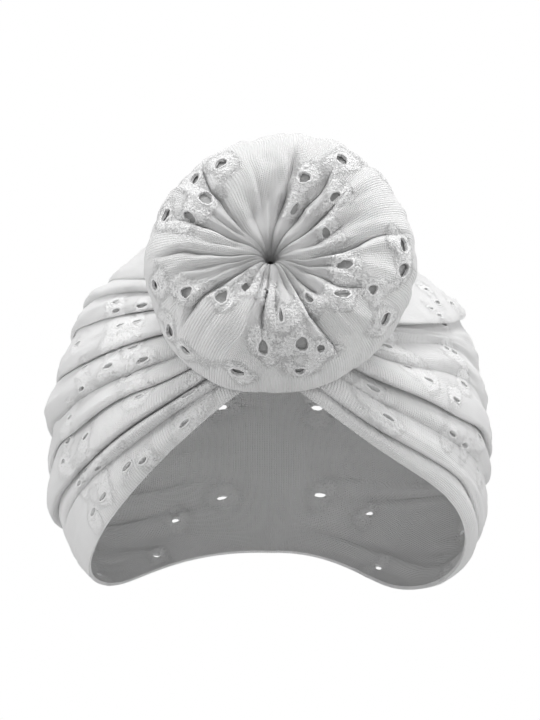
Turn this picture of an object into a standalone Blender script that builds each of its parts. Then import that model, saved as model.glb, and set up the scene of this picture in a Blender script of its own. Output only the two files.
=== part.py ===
"""Pull-on turban cap of pierced ribbed jersey, with a round gathered knot sewn to its front.

Metres, +Z up. The wearer looks along -Y, and +X is at the right of someone who looks at the knot.
The origin is the inside of the crown, where the cap sits on the top of the head.
The cap is one sheet of cloth laid in folds, which fan out from a gather in front to the sides and the back.
The knot is a ring of wadding under a cover of the same cloth, which is gathered into its middle.
"""
from collections import namedtuple
from math import cos, hypot, pi, radians, sin

import bmesh
import bpy
from mathutils import Vector
from mathutils.bvhtree import BVHTree

# Head form inside the cap
HALF_BREADTH = 0.068
HALF_LENGTH = 0.082
CROWN_RISE = 0.067
LOWER_DEPTH = 0.060
LOWER_FULLNESS = 3.0

# Cap: cloth, folds and the lines where they start and end, in degrees above the head form's middle
CAP_WALL = 0.0015
FOLD_HEIGHT = 0.0042
FOLD_SKEW = 0.66
GATHER_LOW = 19.0
GATHER_HIGH = 52.0
GATHER_REACH = 28.0
NAPE_REACH = 75.0
NAPE_LOW = -36.0
NAPE_HIGH = 32.0
LEFT_WAVE = 0.0
RIGHT_WAVE = -0.10

# Knot: a gathered ring that stands off the front of the cap
KNOT_RADIUS = 0.041
KNOT_DEPTH = 0.040
KNOT_WALL = 0.0012
KNOT_FULLNESS = 2.3
KNOT_TILT = 24.0
KNOT_SEAT_ELEVATION = 38.1
KNOT_SINK = 0.0014
KNOT_ASIDE = 0.0030
THROAT_RADIUS = 0.0030
PINCH_ASIDE = -0.0029
PINCH_DROP = 0.0016
CREASE_DEPTH = 0.0034
CREASE_SHARPNESS = 0.6
CREASE_WIDTH_LIMIT = 0.5
CREASE_RIM_FADE = 0.6
CREASE_THROAT_FADE = 0.25
CREASE_TURN_FADE = 40.0
SEAM_BEND = -165.0
THROAT_BEND = 190.0

# Eyelets and the gap between neighbours
EYELET_LENGTH = 0.0052
EYELET_WIDTH = 0.0030
EYELET_MAX_SHARE = 0.72
CLEARANCE = 0.0006
FILLING_SLACK = 0.0008

# Mesh
FOLD_COLUMNS = 3
ROUND_ROWS = 18
PETAL_COLUMNS = 4
KNOT_ROWS = 15
FILLING_COLUMNS = 30
FILLING_ROWS = 10
SEAT_FEELERS = (-1.0, -0.6, -0.2, 0.2, 0.6, 1.0)
SEAT_FEELER_SHARE = 0.65

HEAD_CENTRE = Vector((0.0, 0.0, -CROWN_RISE))

# A row is the valley above a fold: the share of the gather where it starts, its height on the side of the
# head in degrees, how far it bows up on its way there, the share of FOLD_HEIGHT of the fold below it, and
# that fold's eyelets, each with its degrees round from the front and its share of the way up the fold. The
# first row is the hem.
Fold = namedtuple("Fold", "gather side bow height eyelets")
LEFT_FOLDS = (
    Fold(0.00, -42.6, -0.05, 0.0, ()),
    Fold(0.03, -30.0, 0.00, 0.45, ((21, 0.5), (32, 0.2), (37, 0.5), (45, 0.5), (52, 0.5))),
    Fold(0.07, -23.0, -0.10, 0.6, ((48, 0.5),)),
    Fold(0.11, -11.0, -0.05, 0.95, ((29, 0.8), (46, 0.5), (58, 0.5))),
    Fold(0.17, 0.0, -0.15, 0.7, ((34, 0.8), (55, 0.5))),
    Fold(0.38, 13.0, -0.12, 0.9, ((29, 0.2), (35, 0.8), (42, 0.5), (50, 0.2), (54, 0.8))),
    Fold(0.48, 27.0, -0.03, 0.9, ((36, 0.5), (43, 0.5), (68, 0.5))),
    Fold(0.55, 36.0, 0.00, 0.85, ((54, 0.5),)),
    Fold(0.64, 43.0, 0.00, 0.85, ()),
    Fold(0.82, 62.0, 0.00, 0.5, ()),
    Fold(1.00, 90.0, 0.00, 0.25, ()),
)
RIGHT_FOLDS = (
    Fold(0.00, -41.5, 0.28, 0.0, ()),
    Fold(0.02, -32.0, 0.15, 0.55, ()),
    Fold(0.08, -14.0, -0.22, 0.85, ((26, 0.5), (63, 0.8))),
    Fold(0.13, -7.0, -0.10, 0.6, ((45, 0.2), (52, 0.2), (62, 0.8))),
    Fold(0.19, 6.0, -0.10, 0.95, ((33, 0.8), (38, 0.5), (48, 0.2), (58, 0.8))),
    Fold(0.24, 17.0, -0.12, 0.5, ((28, 0.5), (57, 0.8))),
    Fold(0.30, 30.0, -0.35, 0.4, ((63, 0.8),)),
    Fold(0.46, 44.0, -0.20, 1.0, ((56, 0.2), (66, 0.5), (78, 0.2))),
    Fold(0.64, 58.0, -0.10, 0.6, ()),
    Fold(0.82, 74.0, 0.00, 0.45, ()),
    Fold(1.00, 90.0, 0.00, 0.25, ()),
)
# Round the sides and the back the eyelets go on at an even spacing in degrees, stepped from fold to fold
BACK_EYELETS_FROM = 96
BACK_EYELETS_TO = 160
BACK_EYELET_SPACING = 44
BACK_EYELET_STEP = 14

# A row is a crease of the knot's cover: its angle round the knot, its depth as a share of CREASE_DEPTH, how
# far out it runs as a share of KNOT_RADIUS, and the eyelets of the petal that follows it, each with its
# share of the way across the petal and its angle round the filled ring.
Crease = namedtuple("Crease", "turn depth reach eyelets")
CREASES = (
    Crease(14, 1.0, 1.0, ((0.1, 108),)),
    Crease(35, 0.6, 0.7, ((0.6, 88), (0.6, 24))),
    Crease(50, 1.0, 0.9, ((0.2, 60), (0.5, 112), (0.8, 88))),
    Crease(79, 0.7, 0.8, ()),
    Crease(107, 0.6, 0.8, ((0.8, 62),)),
    Crease(127, 1.0, 0.9, ((0.3, 52), (0.4, 82), (0.8, 66), (0.8, 42))),
    Crease(172, 0.6, 0.8, ()),
    Crease(185, 0.6, 0.7, ((0.3, 28), (0.8, 64))),
    Crease(214, 1.0, 0.9, ((0.1, 20), (0.4, 88), (0.6, 112), (0.6, 16))),
    Crease(243, 0.6, 0.8, ((0.4, 24), (0.9, 108))),
    Crease(260, 0.7, 0.9, ((0.2, 56), (0.6, 0))),
    Crease(272, 0.7, 0.8, ((0.1, 86), (0.2, 28), (0.4, 56), (0.8, 34))),
    Crease(300, 1.0, 0.9, ((0.1, 98), (0.45, 84), (0.55, 32), (0.8, 62))),
    Crease(345, 0.6, 0.8, ((0.2, 92), (0.15, 44), (0.7, 44))),
)


def smooth_step(value):
    value = min(max(value, 0.0), 1.0)
    return value * value * (3.0 - 2.0 * value)


def mix(low, high, share):
    return low + (high - low) * share


def signed_power(value, power):
    return abs(value) ** power * (1 if value >= 0 else -1)


def midline_direction(elevation, facing):
    """A direction from the head's centre in its middle plane, towards the front (-1) or the back (+1)."""
    angle = radians(elevation)
    return Vector((0.0, facing * cos(angle), sin(angle)))


def head_radius(direction):
    """Distance from the head's centre to the head form: an ellipsoid above, fuller and drawn in below."""
    level = hypot(direction.x / HALF_BREADTH, direction.y / HALF_LENGTH)
    if direction.z >= 0:
        return 1.0 / hypot(level, direction.z / CROWN_RISE)
    below = (-direction.z / LOWER_DEPTH) ** LOWER_FULLNESS
    return (level ** LOWER_FULLNESS + below) ** (-1.0 / LOWER_FULLNESS)


def fold_fade(turn):
    """The folds die out at the gather in front and along the middle of the back."""
    return smooth_step(turn / radians(GATHER_REACH)) * smooth_step((pi - turn) / radians(NAPE_REACH))


def fold_direction(folds, wave, along, turn):
    """Direction of a point on a fold line: along counts folds from the hem; turn is 0 in front."""
    lower = min(int(along), len(folds) - 2)
    part = along - lower
    even_share = along / (len(folds) - 1)
    share = mix(even_share, mix(folds[lower].gather, folds[lower + 1].gather, part), fold_fade(turn))
    elevation = radians(mix(folds[lower].side, folds[lower + 1].side, part))
    front = midline_direction(mix(GATHER_LOW, GATHER_HIGH, share), -1)
    nape = midline_direction(mix(NAPE_LOW, NAPE_HIGH, share), 1)
    side = Vector((cos(elevation), 0.0, sin(elevation)))
    arc = front * (1 + cos(turn)) / 2 + nape * (1 - cos(turn)) / 2
    swing = side - (front + nape) / 2
    swing.z *= sin(max(turn, pi / 2))
    direction = (arc + swing * sin(turn)).normalized()
    direction.z += mix(folds[lower].bow, folds[lower + 1].bow, part) * sin(turn) ** 2 * cos(turn)
    if turn < pi / 2:
        direction.z += wave * (1 - share) ** 2 * sin(2 * turn) ** 2 * cos(2 * turn)
    return direction.normalized()


def fold_height(folds, along, turn):
    """Height of the cloth over the head form: each fold swells between its valleys, mostly near the hem."""
    lower = min(int(along), len(folds) - 2)
    swell = sin(pi * (along - lower) ** FOLD_SKEW)
    return FOLD_HEIGHT * folds[lower + 1].height * swell * fold_fade(turn)


def cap_point(side, folds, wave, along, turn):
    direction = fold_direction(folds, wave, along, turn)
    reach = head_radius(direction) + CAP_WALL + fold_height(folds, along, turn)
    point = HEAD_CENTRE + direction * reach
    return Vector((side * point.x, point.y, point.z))


def eyelet_corners(corners, long_way):
    """Six points of an eyelet in the middle of a four-sided cell, longest along its sides long_way."""
    widths = ((corners[1] - corners[0]).length, (corners[3] - corners[0]).length)
    sizes = (EYELET_LENGTH, EYELET_WIDTH) if long_way == 0 else (EYELET_WIDTH, EYELET_LENGTH)
    shares = [min(size / width, EYELET_MAX_SHARE) / 2 for size, width in zip(sizes, widths)]
    points = []
    for index in range(6):
        angle = index * pi / 3
        across = 0.5 + shares[0] * cos(angle)
        up = 0.5 + shares[1] * sin(angle)
        low = corners[0].lerp(corners[1], across)
        points.append(low.lerp(corners[3].lerp(corners[2], across), up))
    return points


def add_cell(mesh, corners, pierced, long_way):
    """One cell of cloth: a plain face, or four faces round an eyelet."""
    if not pierced:
        mesh.faces.new(corners)
        return
    ring = [mesh.verts.new(point) for point in eyelet_corners([corner.co for corner in corners], long_way)]
    low_left, low_right, high_right, high_left = corners
    mesh.faces.new((low_right, high_right, ring[1], ring[0], ring[5]))
    mesh.faces.new((high_right, high_left, ring[2], ring[1]))
    mesh.faces.new((high_left, low_left, ring[4], ring[3], ring[2]))
    mesh.faces.new((low_left, low_right, ring[5], ring[4]))


def make_material(name, colour, roughness):
    material = bpy.data.materials.new(name)
    material.use_nodes = True
    shader = material.node_tree.nodes["Principled BSDF"]
    shader.inputs["Base Color"].default_value = (*colour, 1.0)
    shader.inputs["Roughness"].default_value = roughness
    shader.inputs["Metallic"].default_value = 0.0
    return material


def make_object(name, mesh, material, wall=0.0):
    """A named object from a bmesh; a sheet gets its wall on its inner side."""
    data = bpy.data.meshes.new(name)
    mesh.to_mesh(data)
    mesh.free()
    data.materials.append(material)
    data.shade_smooth()
    thing = bpy.data.objects.new(name, data)
    bpy.context.collection.objects.link(thing)
    if wall:
        cloth = thing.modifiers.new("Wall", "SOLIDIFY")
        cloth.thickness = wall
        cloth.offset = -1.0
    return thing


def cap_eyelet_cells(folds):
    """The cells of one half of the cap that hold an eyelet, as (column, row)."""
    cells = set()
    for fold, line in enumerate(folds[1:]):
        first_column = fold * FOLD_COLUMNS
        for turn, part in line.eyelets:
            cells.add((first_column + int(part * FOLD_COLUMNS), int(turn / 180 * ROUND_ROWS)))
        for number, turn in enumerate(range(BACK_EYELETS_FROM, BACK_EYELETS_TO, BACK_EYELET_SPACING)):
            stepped = turn + BACK_EYELET_STEP * (fold % 3)
            cells.add((first_column + (fold + number) % FOLD_COLUMNS, int(stepped / 180 * ROUND_ROWS)))
    return cells


def cap_sheet():
    """The outer face of the cap: left and right halves share the middle lines of front, crown and back."""
    mesh = bmesh.new()
    shared = {}
    for side, folds, wave in ((-1, LEFT_FOLDS, LEFT_WAVE), (1, RIGHT_FOLDS, RIGHT_WAVE)):
        columns = FOLD_COLUMNS * (len(folds) - 1)
        pierced = cap_eyelet_cells(folds)
        grid = {}
        for column in range(columns + 1):
            for row in range(ROUND_ROWS + 1):
                on_middle = row in (0, ROUND_ROWS) or column == columns
                if on_middle and (column, row) in shared:
                    grid[column, row] = shared[column, row]
                    continue
                point = cap_point(side, folds, wave, column / FOLD_COLUMNS, pi * row / ROUND_ROWS)
                grid[column, row] = mesh.verts.new(point)
                if on_middle:
                    shared[column, row] = grid[column, row]
        for column in range(columns):
            for row in range(ROUND_ROWS):
                corners = [grid[column, row], grid[column, row + 1],
                           grid[column + 1, row + 1], grid[column + 1, row]]
                long_way = 0
                if side < 0:
                    corners = [corners[0], corners[3], corners[2], corners[1]]
                    long_way = 1
                add_cell(mesh, corners, (column, row) in pierced, long_way)
    return mesh


def crease_drop(turn_degrees, bend, radius):
    """How far the cover sinks in the creases at a place on the knot, towards the inside of the ring."""
    count = len(CREASES)
    start = max((index for index in range(count) if CREASES[index].turn <= turn_degrees), default=count - 1)
    first = CREASES[start]
    second = CREASES[(start + 1) % count]
    span = (second.turn - first.turn) % 360
    part = ((turn_degrees - first.turn) % 360) / span
    swell = sin(pi * part) ** CREASE_SHARPNESS
    depth = mix(first.depth, second.depth, part)
    reach = mix(first.reach, second.reach, part) * KNOT_RADIUS
    width = radius * radians(span)
    rim_fade = smooth_step((reach - radius) / (CREASE_RIM_FADE * KNOT_RADIUS))
    throat_fade = smooth_step((radius - THROAT_RADIUS) / (CREASE_THROAT_FADE * KNOT_RADIUS))
    into_front = smooth_step(bend / radians(CREASE_TURN_FADE))
    out_of_front = smooth_step((radians(THROAT_BEND) - bend) / radians(CREASE_TURN_FADE))
    deepest = min(CREASE_DEPTH, CREASE_WIDTH_LIMIT * width)
    return deepest * depth * (1 - swell) * rim_fade * throat_fade * into_front * out_of_front


def knot_centre():
    """The middle of the knot, which stands half its depth off the front of the cap, less a small sink."""
    direction = midline_direction(KNOT_SEAT_ELEVATION, -1)
    reach = head_radius(direction) + CAP_WALL + KNOT_DEPTH / 2 - KNOT_SINK
    return HEAD_CENTRE + direction * reach + Vector((KNOT_ASIDE, 0.0, 0.0))


def knot_point(turn_degrees, bend, inset, sunk, seat):
    """A point of the knot. turn goes round its axis; bend goes round the filled ring, 0 at the rim, 90
    degrees at the front and 180 at the throat. inset is the depth below the cover's face, and seat keeps
    the point off the cap."""
    ring = (KNOT_RADIUS + THROAT_RADIUS) / 2
    half_width = (KNOT_RADIUS - THROAT_RADIUS) / 2
    out = half_width * signed_power(cos(bend), 2 / KNOT_FULLNESS)
    up = KNOT_DEPTH / 2 * signed_power(sin(bend), 2 / KNOT_FULLNESS)
    drop = inset + (CREASE_DEPTH if sunk else crease_drop(turn_degrees, bend, ring + out))
    shrink = 1 - drop / hypot(out, up)
    radius = ring + out * shrink
    off_centre = (1 - radius / KNOT_RADIUS) ** 2
    turn = radians(turn_degrees)
    aside = radius * cos(turn) + PINCH_ASIDE * off_centre
    above = radius * sin(turn) - PINCH_DROP * off_centre
    tilt = radians(KNOT_TILT)
    axis = Vector((0.0, -cos(tilt), sin(tilt)))
    upward = Vector((0.0, sin(tilt), cos(tilt)))
    point = knot_centre() + Vector((aside, 0.0, 0.0)) + upward * above + axis * (up * shrink)
    return seat(point, inset)


def make_seat(cap_mesh):
    """Keeps points of the knot off the cap: each is moved out over the highest fold near it."""
    folds = BVHTree.FromBMesh(cap_mesh)
    nearby = SEAT_FEELER_SHARE * pi * KNOT_DEPTH / KNOT_ROWS

    def seat(point, inset):
        ray = point - HEAD_CENTRE
        sideways = ray.cross(Vector((0, 0, 1))).normalized() * nearby
        upward = sideways.cross(ray).normalized() * nearby
        highest = head_radius(ray.normalized()) + CAP_WALL
        for step_aside in SEAT_FEELERS:
            for step_up in SEAT_FEELERS:
                aim = (ray + sideways * step_aside + upward * step_up).normalized()
                hit = folds.ray_cast(HEAD_CENTRE, aim)
                if hit[0] is not None:
                    highest = max(highest, hit[3])
        least = highest + CLEARANCE + inset
        return HEAD_CENTRE + ray.normalized() * max(ray.length, least)
    return seat


def knot_cover_sheet(seat):
    """The outer face of the knot's cover, from its seam at the back over the rim into the throat."""
    mesh = bmesh.new()
    turns = []
    pierced = set()
    for index, crease in enumerate(CREASES):
        span = (CREASES[(index + 1) % len(CREASES)].turn - crease.turn) % 360
        turns += [(crease.turn + span * part / PETAL_COLUMNS) % 360 for part in range(PETAL_COLUMNS)]
        for across, bend in crease.eyelets:
            row = int((bend - SEAM_BEND) / (THROAT_BEND - SEAM_BEND) * KNOT_ROWS)
            pierced.add((index * PETAL_COLUMNS + int(across * PETAL_COLUMNS), row))
    rings = []
    for row in range(KNOT_ROWS + 1):
        bend = radians(mix(SEAM_BEND, THROAT_BEND, row / KNOT_ROWS))
        rings.append([mesh.verts.new(knot_point(turn, bend, 0.0, False, seat)) for turn in turns])
    for row in range(KNOT_ROWS):
        for column in range(len(turns)):
            after = (column + 1) % len(turns)
            corners = (rings[row][column], rings[row][after], rings[row + 1][after], rings[row + 1][column])
            add_cell(mesh, corners, (column, row) in pierced, 1)
    return mesh


def knot_filling_solid(seat):
    """The ring of wadding, closed all round, a clearance under the cover's deepest creases."""
    mesh = bmesh.new()
    inset = KNOT_WALL + FILLING_SLACK
    rings = []
    for row in range(FILLING_ROWS):
        bend = 2 * pi * row / FILLING_ROWS
        bend = bend if bend <= pi else bend - 2 * pi
        turns = [360 * column / FILLING_COLUMNS for column in range(FILLING_COLUMNS)]
        rings.append([mesh.verts.new(knot_point(turn, bend, inset, True, seat)) for turn in turns])
    for row in range(FILLING_ROWS):
        above = (row + 1) % FILLING_ROWS
        for column in range(FILLING_COLUMNS):
            after = (column + 1) % FILLING_COLUMNS
            low, high = rings[row], rings[above]
            mesh.faces.new((low[column], low[after], high[after], high[column]))
    return mesh


def build():
    for thing in list(bpy.data.objects):
        bpy.data.objects.remove(thing)
    white_jersey = make_material("white_jersey", (0.86, 0.86, 0.86), 0.9)
    knot_jersey = make_material("knot_jersey", (0.88, 0.88, 0.88), 0.9)
    wadding = make_material("wadding", (0.34, 0.34, 0.34), 1.0)
    cap = cap_sheet()
    seat = make_seat(cap)
    make_object("cap", cap, white_jersey, CAP_WALL)
    make_object("knot_cover", knot_cover_sheet(seat), knot_jersey, KNOT_WALL)
    make_object("knot_filling", knot_filling_solid(seat), wadding)


build()
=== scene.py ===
"""Looks of the turban cap: white pierced jersey laid in folds, with a round gathered knot at the front.

The cloth follows the head form and knot of the solids and nearly the same fold lines, with finer folds,
creases, eyelets with embroidered rims and lace patches. All lengths are in metres.
"""
from collections import namedtuple
from math import cos, inf, pi, radians, sin

import bpy
import numpy as np
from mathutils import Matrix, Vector
from mathutils.bvhtree import BVHTree


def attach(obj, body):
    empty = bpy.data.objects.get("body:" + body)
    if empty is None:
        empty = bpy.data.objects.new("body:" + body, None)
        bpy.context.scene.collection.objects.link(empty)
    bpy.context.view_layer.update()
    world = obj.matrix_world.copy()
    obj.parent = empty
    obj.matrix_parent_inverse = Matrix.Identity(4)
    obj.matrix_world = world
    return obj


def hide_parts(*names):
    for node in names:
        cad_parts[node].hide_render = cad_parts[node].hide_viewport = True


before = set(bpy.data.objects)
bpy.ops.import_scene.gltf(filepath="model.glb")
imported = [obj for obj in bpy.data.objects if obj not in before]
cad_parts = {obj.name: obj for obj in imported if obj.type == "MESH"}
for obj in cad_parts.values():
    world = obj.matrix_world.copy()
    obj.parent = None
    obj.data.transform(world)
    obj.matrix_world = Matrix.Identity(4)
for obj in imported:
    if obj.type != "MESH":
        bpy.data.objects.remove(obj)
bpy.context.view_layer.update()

# Head form inside the cap, as in the solids
HALF_BREADTH = 0.068
HALF_LENGTH = 0.082
CROWN_RISE = 0.067
LOWER_DEPTH = 0.060
LOWER_FULLNESS = 3.0
HEAD_CENTRE = np.array([0.0, 0.0, -CROWN_RISE])

# Cap: angles in degrees, as in the solids
GATHER_LOW = 19.0
GATHER_HIGH = 52.0
GATHER_REACH = 28.0
NAPE_LOW = -36.0
NAPE_HIGH = 32.0
NAPE_REACH = 75.0
FOLD_HEIGHT = 0.0042
SIDE_STRENGTH_FROM = 25.0
SIDE_STRENGTH_TO = 75.0
UNEVEN_HEIGHT = 0.30
UNEVEN_HEIGHT_DEGREES = 24
UNEVEN_LINE = 0.10
UNEVEN_LINE_DEGREES = 17
HEM_CALM = 0.6
WRINKLES_BEGIN = 12
NEAR_ROUNDNESS = 0.95
FAR_ROUNDNESS = 1.2
FAR_TUCK = 0.5
CLOTH = 0.0011
CAP_CELL = 0.00097
ROWS_PER_FOLD_LENGTH = 1.12
FEWEST_ROWS = 6

# A row is the valley above a fold: the share of the gather where it starts, its height on the side of the
# head in degrees, how far it bows up on its way there, how far it stands off the head, the height of the
# fold below it near the knot and round the side (these three as shares of FOLD_HEIGHT), that fold's lean
# (under 1 its crest lies towards the hem), how far the crest hangs over the fold below as a share of the
# fold's width, and its eyelets, each with its degrees round from the front and its share of the way up.
Fold = namedtuple("Fold", "gather side bow lift near far lean tuck eyelets")
LEFT_FOLDS = (
    Fold(0.00, -42.6, -0.05, 0.0, 0.0, 0.0, 1.0, 0.0, ()),
    Fold(0.03, -30.0, 0.00, 0.0, 0.5, 0.06, 0.8, 0.0,
         ((21, 0.4), (32, 0.34), (36, 0.56), (45, 0.44), (50, 0.4))),
    Fold(0.07, -23.0, -0.10, 0.0, 1.0, 0.08, 0.7, 0.2, ((18, 0.5), (44, 0.05), (48, 0.58), (52, 0.28))),
    Fold(0.11, -11.0, -0.05, 0.0, 1.1, 0.65, 0.5, 0.34, ((29, 0.68), (46, 0.56), (58, 0.46), (58, 0.88))),
    Fold(0.17, 0.0, -0.15, 0.0, 1.1, 0.45, 0.5, 0.3, ((34, 0.9), (55, 0.46))),
    Fold(0.38, 13.0, -0.12, 0.0, 0.9, 0.7, 0.6, 0.12,
         ((29, 0.12), (34, 0.72), (36, 0.9), (40, 0.34), (42, 0.88), (50, 0.1), (54, 0.76))),
    Fold(0.48, 27.0, -0.03, 0.25, 1.0, 0.5, 0.5, 0.3, ((36, 0.54), (43, 0.56), (68, 0.54))),
    Fold(0.55, 36.0, 0.00, 0.4, 0.7, 0.35, 0.55, 0.3, ((38, 0.06), (50, 0.04), (54, 0.48))),
    Fold(0.64, 43.0, 0.00, 0.4, 0.7, 0.45, 0.55, 0.3, ()),
    Fold(0.82, 62.0, 0.00, 0.4, 0.5, 0.3, 0.6, 0.15, ()),
    Fold(1.00, 90.0, 0.00, 0.3, 0.2, 0.1, 1.0, 0.0, ()),
)
RIGHT_FOLDS = (
    Fold(0.00, -41.5, 0.28, 0.0, 0.0, 0.0, 1.0, 0.0, ()),
    Fold(0.02, -32.0, 0.15, 0.0, 0.4, 0.4, 0.8, 0.0, ()),
    Fold(0.08, -14.0, -0.22, 0.1, 0.8, 0.45, 0.5, 0.2, ((26, 0.52), (63, 0.78))),
    Fold(0.13, -7.0, -0.10, 0.0, 0.5, 0.35, 0.6, 0.0, ((22, 0.36), (45, 0.18), (52, 0.1), (62, 0.68))),
    Fold(0.19, 6.0, -0.10, 0.0, 1.1, 0.55, 0.45, 0.4, ((33, 0.9), (38, 0.54), (48, 0.28), (58, 0.84))),
    Fold(0.24, 17.0, -0.12, 0.1, 0.5, 0.25, 0.7, 0.05, ((28, 0.64), (55, 0.88), (59, 0.82))),
    Fold(0.30, 35.0, -0.50, 0.45, 0.4, 0.15, 0.8, 0.0, ((63, 0.9),)),
    Fold(0.46, 44.0, -0.20, 0.4, 1.0, 0.5, 0.3, 0.4,
         ((56, 0.24), (58, 0.06), (66, 0.42), (69, 0.82), (78, 0.26))),
    Fold(0.64, 58.0, -0.10, 0.15, 0.15, 0.1, 1.0, 0.0, ()),
    Fold(0.82, 74.0, 0.00, 0.15, 0.1, 0.1, 1.0, 0.0, ()),
    Fold(1.00, 90.0, 0.00, 0.1, 0.0, 0.0, 1.0, 0.0, ()),
)
Half = namedtuple("Half", "name side folds wave seed")
HALVES = (
    Half("cap_left", -1, LEFT_FOLDS, 0.0, 11),
    Half("cap_right", 1, RIGHT_FOLDS, -0.10, 23),
)

# Creases of the cap that run with the folds: long ones, short ones and puckers near the gather. A row is the
# height, the degrees across the folds and along them for one bump, the degrees along them in which a bump
# moves one place over, and the degrees from the gather in which the creases die down.
Wrinkle = namedtuple("Wrinkle", "height across along slant reach")
WRINKLES = (
    Wrinkle(0.00055, 4.5, 34, 60, inf),
    Wrinkle(0.00042, 1.9, 13, 40, inf),
    Wrinkle(0.00060, 3.2, 9, inf, 22),
)

# Eyelets round the back: from, to and spacing in degrees from the front
BACK_EYELETS_FROM = 96
BACK_EYELETS_TO = 160
BACK_EYELET_SPACING = 44
BACK_EYELET_STEP = 14
BACK_EYELET_PARTS = (0.3, 0.55, 0.8)

# Knot: its size and seat as in the solids, its throat, pinch and creases closer to the cloth
KNOT_RADIUS = 0.041
KNOT_DEPTH = 0.040
KNOT_FULLNESS = 2.3
KNOT_TILT = 24.0
KNOT_SEAT_ELEVATION = 38.1
KNOT_SINK = 0.0014
KNOT_ASIDE = 0.0030
CAP_WALL = 0.0015
THROAT_RADIUS = 0.0010
PINCH_ASIDE = -0.0031
PINCH_DROP = 0.0035
CREASE_DEPTH = 0.0062
CREASE_WIDTH_LIMIT = 1.15
CREASE_SHARPNESS = 0.6
FUNNEL_LIFT = 0.0075
FUNNEL_SHARE = 0.32
START_EASE = 0.15
CREASE_STRAY = 3.0
CREASE_UNEVEN = 0.35
CREASE_BEND = 35
RIM_EASE = 0.42
THROAT_CALM = 0.01
THROAT_EASE = 0.06
SEAM_BEND = -165.0
THROAT_BEND = 176.0
KNOT_CLOTH = 0.0010
KNOT_FRONT_ROWS = 104
KNOT_BACK_ROWS = 26
KNOT_COLUMNS = 360
SEAT_GAP = 0.0004
SEAT_FEELER = 0.0012
SEAT_RAY = 0.02
WADDING_GAP = 0.0004
WADDING_COLUMNS = 160
WADDING_ROWS = 72

# A row is a crease of the knot's cover and the petal after it: its angle at the pinch, halfway out and at
# the rim, its depth (1 is CREASE_DEPTH, or less where the petal is narrow), where it starts and ends as
# shares of the knot's radius, the knot's outline there as a share of its radius, the petal's sink between
# its creases and its lean (under 1 its crest is near this crease, over 1 near the next).
Crease = namedtuple("Crease", "pinch middle rim depth start end outline sink lean")
CREASES = (
    Crease(-22, -3, 9, 1.0, 0.0, 1.0, 1.005, 0.0, 0.9),
    Crease(4, 18, 24, 0.55, 0.25, 0.65, 1.015, 0.0, 1.1),
    Crease(30, 37, 42, 0.9, 0.0, 0.7, 1.012, 0.0, 1.0),
    Crease(58, 55, 60, 1.0, 0.0, 0.85, 1.005, 0.0, 1.2),
    Crease(88, 81, 84, 1.0, 0.0, 0.85, 0.995, 0.2, 0.9),
    Crease(104, 100, 102, 0.3, 0.4, 0.6, 0.975, 0.25, 1.0),
    Crease(121, 118, 115, 0.35, 0.0, 0.5, 0.965, 0.1, 1.0),
    Crease(145, 144, 127, 1.0, 0.0, 1.0, 0.96, 0.0, 0.9),
    Crease(156, 154, 146, 0.4, 0.35, 0.65, 0.965, 0.0, 1.0),
    Crease(168, 163, 166, 0.9, 0.0, 0.95, 0.985, 0.0, 0.9),
    Crease(178, 175, 174, 0.35, 0.35, 0.7, 0.998, 0.05, 1.0),
    Crease(188, 186, 181, 1.0, 0.0, 1.0, 0.997, 0.05, 1.0),
    Crease(198, 197, 192, 0.7, 0.2, 0.85, 0.995, 0.0, 1.1),
    Crease(206, 205, 206, 0.4, 0.1, 0.55, 1.01, 0.0, 1.0),
    Crease(218, 213, 221, 1.0, 0.0, 1.0, 1.02, 0.1, 0.8),
    Crease(234, 238, 236, 0.9, 0.0, 0.5, 1.01, 0.0, 1.0),
    Crease(251, 251, 243, 0.8, 0.0, 0.7, 1.01, 0.0, 1.1),
    Crease(265, 259, 266, 0.9, 0.0, 0.85, 0.96, 0.0, 0.9),
    Crease(276, 270, 273, 0.4, 0.35, 0.7, 0.955, 0.0, 1.1),
    Crease(288, 282, 285, 0.7, 0.0, 0.5, 0.95, 0.0, 1.2),
    Crease(302, 295, 298, 1.0, 0.2, 1.0, 0.945, 0.2, 1.0),
    Crease(311, 310, 314, 0.8, 0.0, 0.6, 0.95, 0.1, 1.0),
    Crease(320, 326, 334, 0.8, 0.3, 0.8, 0.965, 0.0, 1.0),
    Crease(329, 341, 352, 0.7, 0.1, 0.55, 0.985, 0.0, 1.0),
)
PINCH_SHARE = 0.1
MIDDLE_SHARE = 0.5

# Small unevenness of the cover: heights, then the shares of the radius over which it comes in round the
# throat, and the bend in radians over which its lines come in from behind the rim
PUFF_HEIGHT = 0.0007
LINE_HEIGHT = 0.00080
FINE_HEIGHT = 0.00030
RELIEF_FROM = 0.10
RELIEF_EASE = 0.30
LINES_FROM = -0.6
LINES_EASE = 0.8
PUFF_SEED = 71
LINE_SEED = 72
FINE_SEED = 73
STRAY_SEED = 74
CREASE_SEED = 75
DEPTH_SEED = 76
KNOT_EYELET_SEED = 5
KNOT_LACE_SEED = 31
KNOT_RELIEF_SEED = 33
CAP_RIM_SEED = 41
KNOT_RIM_SEED = 43

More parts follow.
